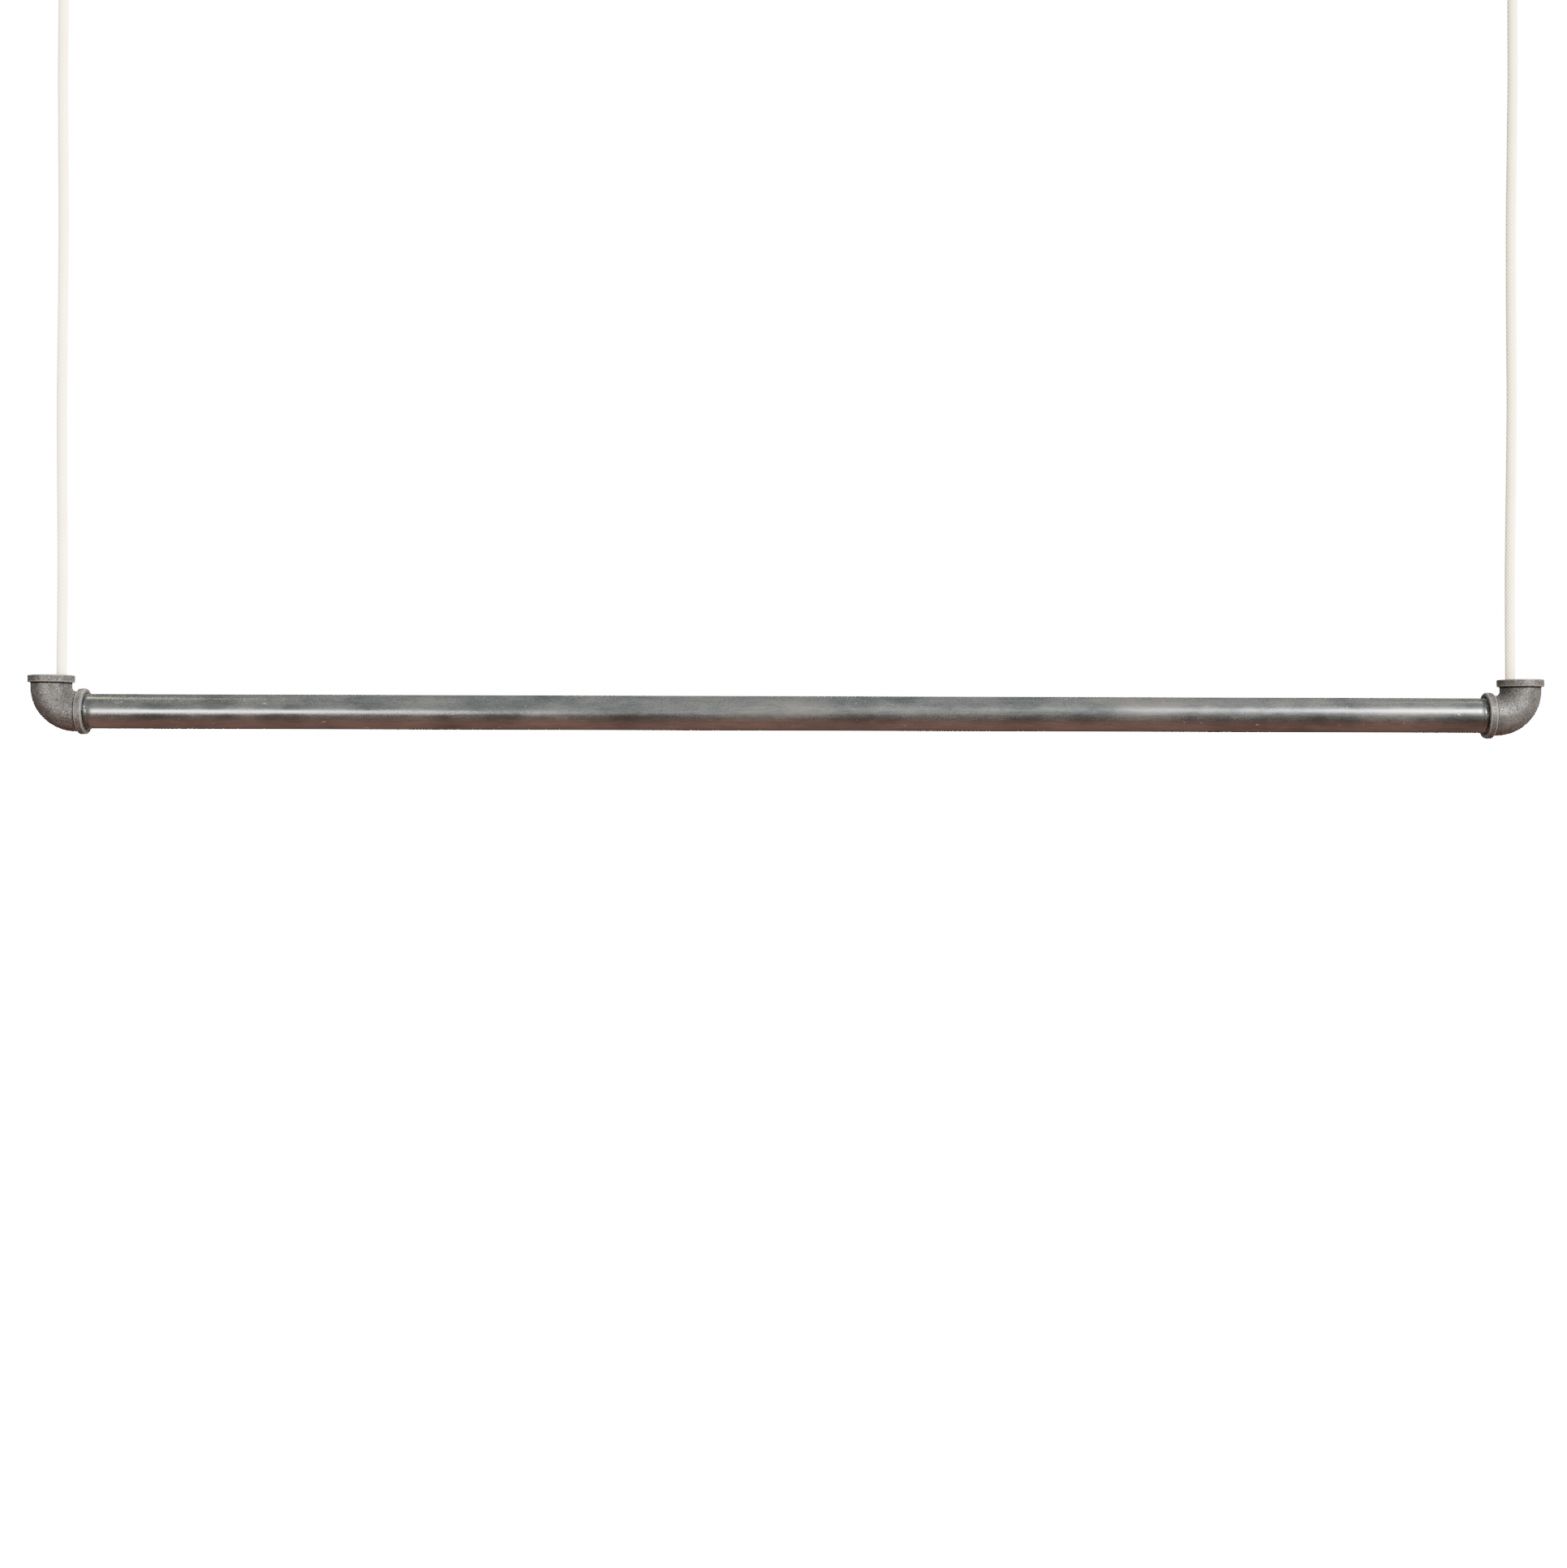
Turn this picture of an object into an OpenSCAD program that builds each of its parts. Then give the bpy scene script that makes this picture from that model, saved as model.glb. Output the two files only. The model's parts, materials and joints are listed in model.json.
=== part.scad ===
// Hanging pipe rail: a threaded steel pipe with a cast elbow screwed on each end,
// carried by one cotton rope that runs up through both elbows to two ceiling eyes.
// Millimetres, +Z up. The origin is in the ceiling's plane, midway between the eyes.

/* [Pipe] */
// Length of the pipe between its two threaded ends
pipe_length = 1085; // [400:5:2000]
// Outside diameter of the pipe
pipe_od = 26.9; // [21:0.1:43]
// Wall thickness of the pipe
pipe_wall = 2.65; // [2:0.05:3.6]
// Depth of the thread's pitch line under the pipe's surface
pitch_depth = 0.81; // [0.6:0.01:1]
// Height of one thread, crest to root
thread_height = 1.16; // [0.8:0.02:1.4]
// Length of pipe screwed into each elbow
engagement = 12; // [9:0.5:14]
// Length of thread left showing outside the elbow
thread_showing = 1.5; // [0.5:0.25:5]

/* [Elbow] */
// Wall of the elbow's neck outside the thread's pitch line
body_wall = 2.8; // [2.4:0.1:4]
// Rise of the rounded band over the neck
band_rise = 2.1; // [1:0.1:4]
// Width of the band round each mouth
band_width = 5.8; // [4:0.1:9]
// Straight neck between the bend and the band
neck_length = 3.2; // [1.5:0.1:8]
// Radius of the tight inner corner between the two necks
corner_radius = 3; // [2:0.1:8]
// Wall of the bend
bend_wall = 3.2; // [2.8:0.1:4]
// Bevel inside each mouth
mouth_bevel = 1.2; // [0.5:0.1:1.8]

/* [Rope] */
// Diameter of the braided rope
rope_d = 8; // [5:0.5:9.5]
// Middle radius of the rope's turn inside an elbow
rope_turn_r = 16; // [15:0.5:18]
// Gap between the rope and the metal it runs past
rope_gap = 0.3; // [0.3:0.05:0.5]
// Depth of the point where the rope bends, inside the mouth
bend_depth = 2; // [1:0.5:3]
// Height of the two hitches that close the loop
knot_height = 18; // [14:1:30]
// Radius of the hitches round the standing rope
knot_r = 13; // [11:0.5:18]
// Length of the whipping on the rope's cut end
whipping_length = 9; // [4:1:14]

/* [Ceiling fitting] */
// Height of the ceiling above the pipe's axis
drop = 675; // [350:5:2500]
// Diameter of the eye's steel wire
wire_d = 6; // [5:0.5:8]
// Clear diameter inside the eye
eye_opening = 20; // [20:1:40]
// Depth of the wood screw thread, halfway from crest to root
screw_depth = 0.4; // [0.2:0.05:0.8]
// Bare shank between the rosette and the ring
shank_showing = 5; // [2:0.5:20]
// Length of shank above the ceiling's plane
shank_length = 35; // [25:1:60]
// Height of the loop's legs between the wire and the knot
leg_height = 29; // [26:1:60]
// Diameter of the rosette
rosette_d = 46; // [34:1:80]
// Height of the rosette
rosette_h = 6; // [4:0.5:12]
// Thickness of the rosette's sheet
rosette_wall = 1.2; // [0.8:0.1:2]

/* [Hidden] */

round_fn = 96;
fine_fn = 48;
seat_gap = 0.05;      // between pieces that fit snugly in one body
pivot_gap = 0.35;     // between the loop and the wire it turns on
edge_break = 0.7;     // bevel on the bands' outer edges
runout = 0.8;         // cone between the thread and the full pipe
overrun = 1;          // how far a cutter passes the face it cuts
bore_clear = 0.05;    // between the pipe's thread and the elbow's

// Pipe and elbow
pipe_r = pipe_od / 2;
pipe_bore_r = pipe_r - pipe_wall;
pitch_r = pipe_r - pitch_depth;
crest_r = pitch_r - thread_height / 2;
body_r = pitch_r + body_wall;
band_r = body_r + band_rise;
bend_r = body_r + corner_radius;
passage_r = body_r - bend_wall;
centre_to_face = bend_r + neck_length + band_width;
tap_depth = engagement + 1.5;
port_x = pipe_length / 2 + centre_to_face - engagement;
pipe_end_x = centre_to_face - engagement;

// Rope: its offset in the upright mouth, and the turn that clears the pipe's inner edge
rope_r = rope_d / 2;
rope_off = crest_r - rope_r - rope_gap;
turn_x = rope_off + rope_turn_r;
clear_r = rope_turn_r - rope_r - rope_gap;
turn_z = pipe_bore_r + sqrt(clear_r * clear_r - pow(turn_x - pipe_end_x, 2));
rope_z = turn_z - rope_turn_r;
rope_x = port_x - rope_off;

screw_r = wire_d / 2 - screw_depth;

// Heights, from the ceiling down
ring_r = (eye_opening + wire_d) / 2;
ring_z = -rosette_h - shank_showing - wire_d / 2 - ring_r;
wire_z = ring_z - ring_r;
knot_top_z = wire_z - leg_height;
knot_z = knot_top_z - knot_height;
upper_pivot_z = knot_z - rope_r - rope_gap;
mouth_z = -drop + centre_to_face;
lower_pivot_z = mouth_z - bend_depth;
hang_length = upper_pivot_z - lower_pivot_z;

// The hanging rope's slight waver, X and Y at equal steps from its foot to its knot
waver = [[0, 0], [0.1, 0.1], [0.3, 0.1], [0.4, 0.2], [0.4, 0.3], [0.2, 0.3], [0, 0.2],
         [-0.2, 0.1], [-0.3, 0], [-0.4, -0.1], [-0.3, -0.2], [-0.1, -0.2], [0.1, -0.2],
         [0.3, -0.1], [0.4, 0], [0.5, 0.1], [0.4, 0.2], [0.2, 0.2], [0, 0.1], [-0.1, 0],
         [-0.3, -0.1], [-0.3, -0.1], [-0.2, 0], [-0.1, 0.1], [0, 0], [0, 0]];
// The cut end below the knot: X, Y and height over the knot's lower face
tail_route = [[5, 7, 6], [7, 9, 3], [8, 11, -3], [8, 12, -10], [8, 12, -20], [8, 12, -30]];
tube_sides = 10;
loop_r = (wire_d + rope_d) / 2 + pivot_gap;
hitch_off = rope_d;
loop_steps = 16;

function unit(v) = v / norm(v);
function tangent(path, i) = unit(path[min(i + 1, len(path) - 1)] - path[max(i - 1, 0)]);
function ring(c, t, r) =
    let (u = unit([1, 0, 0] - t[0] * t), v = cross(t, u))
    [for (k = [0:tube_sides - 1])
        c + r * (cos(360 * k / tube_sides) * u + sin(360 * k / tube_sides) * v)];

// One closed tube along a path, with a radius at each of its points
module swept_tube(path, radii) {
    n = len(path);
    corners = [for (i = [0:n - 1]) each ring(path[i], tangent(path, i), radii[i])];
    sides = [for (i = [0:n - 2], k = [0:tube_sides - 1])
        let (a = i * tube_sides, k1 = (k + 1) % tube_sides, b = a + tube_sides)
        each [[a + k, b + k, b + k1], [a + k, b + k1, a + k1]]];
    foot = [[for (k = [0:tube_sides - 1]) k]];
    head = [[for (k = [tube_sides - 1:-1:0]) (n - 1) * tube_sides + k]];
    polyhedron(points = corners, faces = concat(foot, sides, head));
}

// Both sides are alike: the right one is the left one in a mirror
module right_side() {
    mirror([1, 0, 0]) children();
}

module pipe() {
    tip = engagement + thread_showing;
    half = pipe_length / 2;
    color([0.36, 0.37, 0.37])
    translate([0, 0, -drop])
    rotate([0, 90, 0])
    difference() {
        union() {
            cylinder(h = pipe_length - 2 * (tip + runout), r = pipe_r, center = true, $fn = round_fn);
            for (s = [0, 1]) mirror([0, 0, s]) {
                translate([0, 0, half - tip - runout])
                    cylinder(h = runout, r1 = pipe_r, r2 = pitch_r, $fn = round_fn);
                translate([0, 0, half - tip])
                    cylinder(h = tip, r = pitch_r, $fn = round_fn);
            }
        }
        cylinder(h = pipe_length + 2 * overrun, r = pipe_bore_r, center = true, $fn = round_fn);
    }
}

// A quarter turn from the upright port to the level one, round the tight corner
module quarter_bend(r) {
    translate([bend_r, 0, bend_r])
    rotate([-90, 0, 180])
    rotate_extrude(angle = 90, $fn = round_fn)
        translate([bend_r, 0]) circle(r = r, $fn = fine_fn);
}

// One port's neck and band, along +Z from the bend
module port_shell() {
    translate([0, 0, bend_r])
        cylinder(h = neck_length + overrun, r = body_r, $fn = round_fn);
    translate([0, 0, centre_to_face - band_width])
    rotate_extrude($fn = round_fn)
        polygon([[0, 0], [band_r - edge_break, 0], [band_r, edge_break],
                 [band_r, band_width - edge_break], [band_r - edge_break, band_width],
                 [0, band_width]]);
}

// One port's tapped bore and its bevelled mouth, along +Z
module port_bore() {
    bore_r = pitch_r + bore_clear;
    translate([0, 0, centre_to_face - tap_depth])
        cylinder(h = tap_depth + overrun, r = bore_r, $fn = round_fn);
    translate([0, 0, centre_to_face - mouth_bevel])
        cylinder(h = mouth_bevel + overrun, r1 = bore_r, r2 = bore_r + mouth_bevel + overrun,
                 $fn = round_fn);
}

// Elbow about the crossing of its two axes: one port up, the other towards the pipe
module elbow() {
    difference() {
        union() {
            quarter_bend(body_r);
            port_shell();
            rotate([0, 90, 0]) port_shell();
        }
        quarter_bend(passage_r);
        port_bore();
        rotate([0, 90, 0]) port_bore();
    }
}

module left_elbow() {
    color([0.43, 0.42, 0.41])
    translate([-port_x, 0, -drop]) elbow();
}

module right_elbow() {
    right_side() left_elbow();
}

// The rope's stretch inside the rail: along the pipe, round both turns, up to the mouths
module inner_rope() {
    straight = 2 * (port_x - turn_x);
    color([0.95, 0.93, 0.86])
    translate([0, 0, -drop]) {
        translate([-straight / 2, 0, rope_z])
        rotate([0, 90, 0])
            cylinder(h = straight, r = rope_r, $fn = fine_fn);
        for (s = [0, 1]) mirror([s, 0, 0]) translate([-port_x, 0, 0]) {
            translate([turn_x, 0, turn_z])
            rotate([-90, 0, 180])
            rotate_extrude(angle = 90, $fn = round_fn)
                translate([rope_turn_r, 0]) circle(r = rope_r, $fn = fine_fn);
            translate([rope_off, 0, turn_z])
                cylinder(h = centre_to_face - bend_depth - rope_r - rope_gap - turn_z,
                         r = rope_r, $fn = fine_fn);
        }
    }
}

// The hanging stretch, rounded about both of the points where it bends
module left_rope() {
    last = len(waver) - 1;
    tips = [75, 50, 25];
    low = [for (a = tips) [0, 0, -rope_r * sin(a)]];
    high = [for (i = [2:-1:0]) [0, 0, hang_length + rope_r * sin(tips[i])]];
    route = [for (i = [0:last]) [waver[i][0], waver[i][1], hang_length * i / last]];
    radii = concat([for (a = tips) rope_r * cos(a)], [for (i = [0:last]) rope_r],
                   [for (i = [2:-1:0]) rope_r * cos(tips[i])]);
    color([0.96, 0.94, 0.87])
    translate([-rope_x, 0, lower_pivot_z])
        swept_tube(concat(low, route, high), radii);
}

module right_rope() {
    right_side() left_rope();
}

// The loop over the wire: up one leg, over, and down to the standing rope
module left_loop() {
    sink = 3;
    foot = leg_height + sink;
    first = atan2(-foot, hitch_off) + acos(loop_r / norm([hitch_off, foot]));
    last = 270 - acos(loop_r / foot);
    over = [for (i = [0:loop_steps]) let (a = first + (last - first) * i / loop_steps)
        [0, loop_r * cos(a), loop_r * sin(a)]];
    path = concat([[0, hitch_off, -foot]], over, [[0, 0, -foot]]);
    color([0.96, 0.94, 0.87])
    translate([-rope_x, 0, wire_z])
        swept_tube(path, [for (p = path) rope_r]);
}

module right_loop() {
    right_side() left_loop();
}

// Two hitches round the standing rope, as one rounded drum
module left_knot() {
    c = knot_height / 4;
    color([0.93, 0.91, 0.84])
    translate([-rope_x, 0, knot_z])
    rotate_extrude($fn = fine_fn)
        polygon([[0, 0], [knot_r - c, 0], [knot_r - c / 4, c / 2], [knot_r, c],
                 [knot_r, knot_height - c], [knot_r - c / 4, knot_height - c / 2],
                 [knot_r - c, knot_height], [0, knot_height]]);
}

module right_knot() {
    right_side() left_knot();
}

module left_tail() {
    color([0.96, 0.94, 0.87])
    translate([-rope_x, 0, knot_z])
        swept_tube(tail_route, [for (p = tail_route) rope_r]);
}

module right_tail() {
    right_side() left_tail();
}

// Twine wound round the rope's cut end
module left_whipping() {
    end = tail_route[len(tail_route) - 1];
    twine = 0.6;
    color([0.72, 0.63, 0.47])
    translate([-rope_x, 0, knot_z])
    translate(end)
    difference() {
        cylinder(h = whipping_length, r = rope_r + seat_gap + twine, $fn = fine_fn);
        translate([0, 0, -overrun])
            cylinder(h = whipping_length + 2 * overrun, r = rope_r + seat_gap, $fn = fine_fn);
    }
}

module right_whipping() {
    right_side() left_whipping();
}

// Closed steel eye: a ring under a straight shank with a pointed tip
module left_eye() {
    point = 4;
    color([0.24, 0.24, 0.25])
    translate([-rope_x, 0, 0]) {
        translate([0, 0, ring_z])
        rotate([90, 0, 0])
        rotate_extrude($fn = round_fn)
            translate([ring_r, 0]) circle(d = wire_d, $fn = fine_fn);
        translate([0, 0, ring_z + ring_r])
            cylinder(h = -ring_z - ring_r, d = wire_d, $fn = fine_fn);
        cylinder(h = shank_length - point, r = screw_r, $fn = fine_fn);
        translate([0, 0, shank_length - point])
            cylinder(h = point, r1 = screw_r, r2 = 0.5, $fn = fine_fn);
    }
}

module right_eye() {
    right_side() left_eye();
}

// Pressed sheet cup that covers the pilot hole, with its rim on the ceiling
module left_rosette() {
    r = rosette_d / 2;
    c = rosette_h - 1;
    hole_r = wire_d / 2 + seat_gap;
    outer = [for (a = [0:15:90]) [r - c + c * cos(a), -rosette_h + c - c * sin(a)]];
    ci = c - rosette_wall;
    inner = [for (a = [90:-15:0]) [r - c + ci * cos(a), -rosette_h + c - ci * sin(a)]];
    color([0.24, 0.24, 0.25])
    translate([-rope_x, 0, 0])
    rotate_extrude($fn = round_fn)
        polygon(concat([[r, 0]], [for (p = outer) p], [[hole_r, -rosette_h]],
                       [[hole_r, -rosette_h + rosette_wall]], [for (p = inner) p],
                       [[r - rosette_wall, 0]]));
}

module right_rosette() {
    right_side() left_rosette();
}

pipe();
left_elbow();
right_elbow();
inner_rope();
left_rope();
right_rope();
left_loop();
right_loop();
left_knot();
right_knot();
left_tail();
right_tail();
left_whipping();
right_whipping();
left_eye();
right_eye();
left_rosette();
right_rosette();
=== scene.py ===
"""Looks of the hanging pipe rail: mill steel pipe, cast elbows, braided cotton rope, ceiling eyes.

Metres, in the CAD frame: +X along the rail, -Y towards the viewer, +Z up, the ceiling at z = 0.
"""

import json
import math

import bpy
import numpy as np
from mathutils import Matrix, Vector


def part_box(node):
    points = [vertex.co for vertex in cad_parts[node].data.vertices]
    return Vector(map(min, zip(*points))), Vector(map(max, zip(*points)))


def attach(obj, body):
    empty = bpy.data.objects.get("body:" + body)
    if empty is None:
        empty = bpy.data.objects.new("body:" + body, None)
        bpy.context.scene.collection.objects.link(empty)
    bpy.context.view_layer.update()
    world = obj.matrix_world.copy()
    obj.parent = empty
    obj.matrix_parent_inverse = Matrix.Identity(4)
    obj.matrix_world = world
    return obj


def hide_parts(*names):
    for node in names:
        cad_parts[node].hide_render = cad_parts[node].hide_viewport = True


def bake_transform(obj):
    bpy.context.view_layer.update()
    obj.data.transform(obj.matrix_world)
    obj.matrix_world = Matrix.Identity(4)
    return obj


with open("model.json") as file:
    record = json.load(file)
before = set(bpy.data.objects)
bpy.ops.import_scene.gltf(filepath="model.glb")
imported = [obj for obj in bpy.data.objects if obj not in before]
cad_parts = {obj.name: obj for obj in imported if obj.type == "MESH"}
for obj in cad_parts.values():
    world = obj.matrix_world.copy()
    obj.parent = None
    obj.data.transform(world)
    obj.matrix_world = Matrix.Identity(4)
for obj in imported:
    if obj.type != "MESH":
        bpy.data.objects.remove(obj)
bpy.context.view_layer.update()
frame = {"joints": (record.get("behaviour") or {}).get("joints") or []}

mm = 0.001
TURN = 2 * math.pi

# ---------------------------------------------------------------- sizes taken from the frame
pipe_low, pipe_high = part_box("pipe")
elbow_low, elbow_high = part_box("left_elbow")
eye_low, eye_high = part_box("left_eye")
knot_low, knot_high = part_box("left_knot")
rope_low, rope_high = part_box("inner_rope")
rosette_low, rosette_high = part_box("left_rosette")
pivots = {joint["name"]: joint["pos_m"] for joint in frame["joints"]}

pipe_r = (pipe_high.z - pipe_low.z) / 2
pipe_half = pipe_high.x
axis_z = (pipe_high.z + pipe_low.z) / 2
band_r = axis_z - elbow_low.z
face_reach = elbow_high.z - axis_z
port_x = -(elbow_low.x + band_r)
rope_r = (rope_high.y - rope_low.y) / 2
rope_x = -(eye_low.x + eye_high.x) / 2
wire_r = (eye_high.y - eye_low.y) / 2
ring_r = (eye_high.x - eye_low.x) / 2 - wire_r
ring_z = eye_low.z + wire_r + ring_r
knot_z = (knot_low.z + knot_high.z) / 2
upper_pivot_z = pivots["left_sway"][2]
lower_pivot_z = pivots["rail_level"][2]
wire_z = pivots["left_swing"][2]

# ---------------------------------------------------------------- sizes that only the looks need
PIPE_BORE_R = 10.8 * mm
THREAD_PITCH = 1.814 * mm      # fourteen threads to the inch
THREAD_CREST_R = 12.06 * mm    # of the elbow's thread, and the root of the pipe's
THREAD_ROOT_R = 13.22 * mm     # of the elbow's thread, and the crest of the pipe's
THREADED_LENGTH = 13.5 * mm
BODY_R = 15.44 * mm            # of the casting, between its bands
BEND_R = 18.44 * mm            # of the casting's centreline
PASSAGE_R = 12.24 * mm         # of the casting's hollow, between its threads
BAND_WIDTH = 5.8 * mm
EDGE_R = 0.9 * mm              # rounding of the bands' edges
CORNER_R = 0.8 * mm            # fillet under the bands
MOUTH_BEVEL = 1.2 * mm
ROPE_OFFSET = port_x - rope_x
ROPE_TURN_R = 16 * mm          # of the rope's centreline inside an elbow
ROPE_COLUMNS = 48
ROPE_STEP = 0.6 * mm           # between a rope's rows
FOOT_LAP = 0.8 * mm            # how far the ropes pass the right foot's pivot, each way
HEAD_LAP = 4 * mm              # how far a hanging rope runs up inside its knot
LOOP_GAP = 0.35 * mm           # between the rope's loop and the eye's wire

# The hanging rope's slight waver, X and Y in millimetres at equal steps from foot to knot
WAVER = np.array([
    [0, 0], [0.1, 0.1], [0.3, 0.1], [0.4, 0.2], [0.4, 0.3], [0.2, 0.3], [0, 0.2],
    [-0.2, 0.1], [-0.3, 0], [-0.4, -0.1], [-0.3, -0.2], [-0.1, -0.2], [0.1, -0.2],
    [0.3, -0.1], [0.4, 0], [0.5, 0.1], [0.4, 0.2], [0.2, 0.2], [0, 0.1], [-0.1, 0],
    [-0.3, -0.1], [-0.3, -0.1], [-0.2, 0], [-0.1, 0.1], [0, 0], [0, 0]]) * mm


# ---------------------------------------------------------------- the camera
def camera():
    """The viewer's camera: level, a little under the rail, 1.68 m in front of it.
    """
    left_of_middle, distance, below_axis = 1.5 * mm, 1.682, 53.6 * mm
    roll = math.radians(-0.18)
    data = bpy.data.cameras.new("camera")
    data.sensor_width = 36.0
    data.lens = 50.84
    made = bpy.data.objects.new("camera", data)
    bpy.context.scene.collection.objects.link(made)
    made.location = (-left_of_middle, -distance, axis_z - below_axis)
    made.rotation_euler = (math.radians(90), roll, 0)
    bpy.context.scene.camera = made


# ---------------------------------------------------------------- shapes
def closed_mesh(name, grid, loop=False, uv=None, height=None):
    """A closed surface over grid[row, column]: columns run round, rows along it.

    With loop the last row joins the first, as on a ring; otherwise each end is closed by a fan
    round one added point. The faces are turned outwards by the sign of the enclosed volume. uv
    has a pair of numbers for each point and height one; they become the map "run" and the
    attribute "crown".
    """
    rows, columns = grid.shape[:2]
    grid_points = rows * columns
    points = grid.reshape(-1, 3)
    row = np.arange(rows if loop else rows - 1)[:, None]
    column = np.arange(columns)[None, :]
    here, ahead = row * columns, (row + 1) % rows * columns
    beside = (column + 1) % columns
    quads = np.stack([here + column, here + beside, ahead + beside, ahead + column], -1)
    quads = quads.reshape(-1, 4)
    caps = np.zeros((0, 3), int)
    if not loop:
        points = np.vstack([points, grid[0].mean(0), grid[-1].mean(0)])
        rim, next_on_rim = column[0], beside[0]
        last_row = grid_points - columns
        first = np.stack([np.full(columns, grid_points), next_on_rim, rim], -1)
        last = np.stack([np.full(columns, grid_points + 1), last_row + rim, last_row + next_on_rim], -1)
        caps = np.vstack([first, last])
    added = len(points) - grid_points
    triangles = np.vstack([quads[:, [0, 1, 2]], quads[:, [0, 2, 3]], caps])
    first_corner, second_corner, third_corner = (points[triangles[:, i]] for i in range(3))
    if np.einsum("ij,ij->", first_corner, np.cross(second_corner, third_corner)) < 0:
        quads, caps = quads[:, ::-1], caps[:, ::-1]
    mesh = bpy.data.meshes.new(name)
    mesh.from_pydata(points.tolist(), [], quads.tolist() + caps.tolist())
    mesh.polygons.foreach_set("use_smooth", np.ones(len(mesh.polygons), bool))
    if height is not None:
        values = np.concatenate([height.ravel(), np.zeros(added)])
        mesh.attributes.new("crown", "FLOAT", "POINT").data.foreach_set("value", values)
    if uv is not None:
        point_of_corner = np.zeros(len(mesh.loops), int)
        mesh.loops.foreach_get("vertex_index", point_of_corner)
        flat = np.vstack([uv.reshape(-1, 2), np.zeros((added, 2))])
        mesh.uv_layers.new(name="run").data.foreach_set("uv", flat[point_of_corner].ravel())
    made = bpy.data.objects.new(name, mesh)
    bpy.context.scene.collection.objects.link(made)
    return made


def angles_round(columns):
    """Equal angles once round, as one row, so that a column of values spreads over them."""
    return np.linspace(0, TURN, columns, endpoint=False)[None, :]


def arc(centre, radius, start, end, count):
    """Points of a circle's arc from one angle to the other, in degrees, as rows of two."""
    angle = np.radians(np.linspace(start, end, count))
    return np.stack([centre[0] + radius * np.cos(angle), centre[1] + radius * np.sin(angle)], -1)


def soft_noise(points, size, seed):
    """Smooth values from -1 to 1 over space: random numbers on a lattice of cells of the given
    size, and at each point the mean of its cell's eight corners, weighted by an eased nearness."""
    side = 64
    lattice = np.random.default_rng(seed).uniform(-1, 1, (side, side, side))
    scaled = points / size
    cell = np.floor(scaled).astype(int)
    part = scaled - cell
    part = part * part * (3 - 2 * part)
    total = np.zeros(points.shape[:-1])
    for dx in (0, 1):
        for dy in (0, 1):
            for dz in (0, 1):
                weight = (np.where(dx, part[..., 0], 1 - part[..., 0])
                          * np.where(dy, part[..., 1], 1 - part[..., 1])
                          * np.where(dz, part[..., 2], 1 - part[..., 2]))
                corner = (cell + (dx, dy, dz)) % side
                total += weight * lattice[corner[..., 0], corner[..., 1], corner[..., 2]]
    return total


def distance_along(path):
    """Each point's distance from the first, measured along the line."""
    return np.concatenate([[0], np.cumsum(np.linalg.norm(np.diff(path, axis=0), axis=1))])


def resample(path, step):
    """The same line with points at equal steps along its length, and their distances."""
    along = distance_along(path)
    even = np.linspace(0, along[-1], max(8, round(along[-1] / step)) + 1)
    return np.stack([np.interp(even, along, path[:, i]) for i in range(3)], -1), even


def curve_through(points, per_span=24):
    """A smooth line through the points: between each two a cubic whose slope at a point is half
    the step between that point's neighbours, with one point mirrored past each end."""
    held = np.vstack([2 * points[0] - points[1], points, 2 * points[-1] - points[-2]])
    t = np.linspace(0, 1, per_span, endpoint=False)[:, None]
    spans = [0.5 * (2 * b + (c - a) * t + (2 * a - 5 * b + 4 * c - d) * t ** 2
                    + (3 * b - 3 * c + d - a) * t ** 3)
             for a, b, c, d in zip(held, held[1:], held[2:], held[3:])]
    return np.vstack(spans + [points[-1:]])


def relax(path, times):
    """The line with its corners eased: each time every point but the ends moves to the mean of
    itself, counted twice, and its two neighbours."""
    eased = path.copy()
    for _ in range(times):
        eased[1:-1] = (eased[:-2] + 2 * eased[1:-1] + eased[2:]) / 4
    return eased


def carried_frames(path):
    """Two crosswise directions at each point: a normal carried along the line without twist, and
    the one square to it and to the line. The loop is over the line's rows, since each normal
    comes from the one before."""
    tangent = np.gradient(path, axis=0)
    tangent /= np.linalg.norm(tangent, axis=1, keepdims=True)
    normal = np.empty_like(tangent)
    carried = np.array([0.0, 1.0, 0.0])
    if abs(tangent[0] @ carried) > 0.9:
        carried = np.array([1.0, 0.0, 0.0])
    for i, ahead in enumerate(tangent):
        carried = carried - (carried @ ahead) * ahead
        carried /= np.linalg.norm(carried)
        normal[i] = carried
    return normal, np.cross(tangent, normal)


def tube(name, path, radius, columns, **extra):
    """A round section carried along a path; radius is a number or a value at each row and column."""
    phi = angles_round(columns)[0]
    normal, binormal = carried_frames(path)
    spokes = (np.cos(phi)[None, :, None] * normal[:, None, :]
              + np.sin(phi)[None, :, None] * binormal[:, None, :])
    reach = np.broadcast_to(np.asarray(radius), (len(path), columns))
    return closed_mesh(name, path[:, None, :] + reach[..., None] * spokes, **extra)


def thread_wave(along, phi, pitch):
    """A thread's height from 0 at the root to 1 at the crest: a triangle wave along a helix, whose
    top is cut flat."""
    turn = (along / pitch + phi / TURN) % 1
    return np.clip(1.25 - 2.5 * np.abs(turn - 0.5), 0, 1)


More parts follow.
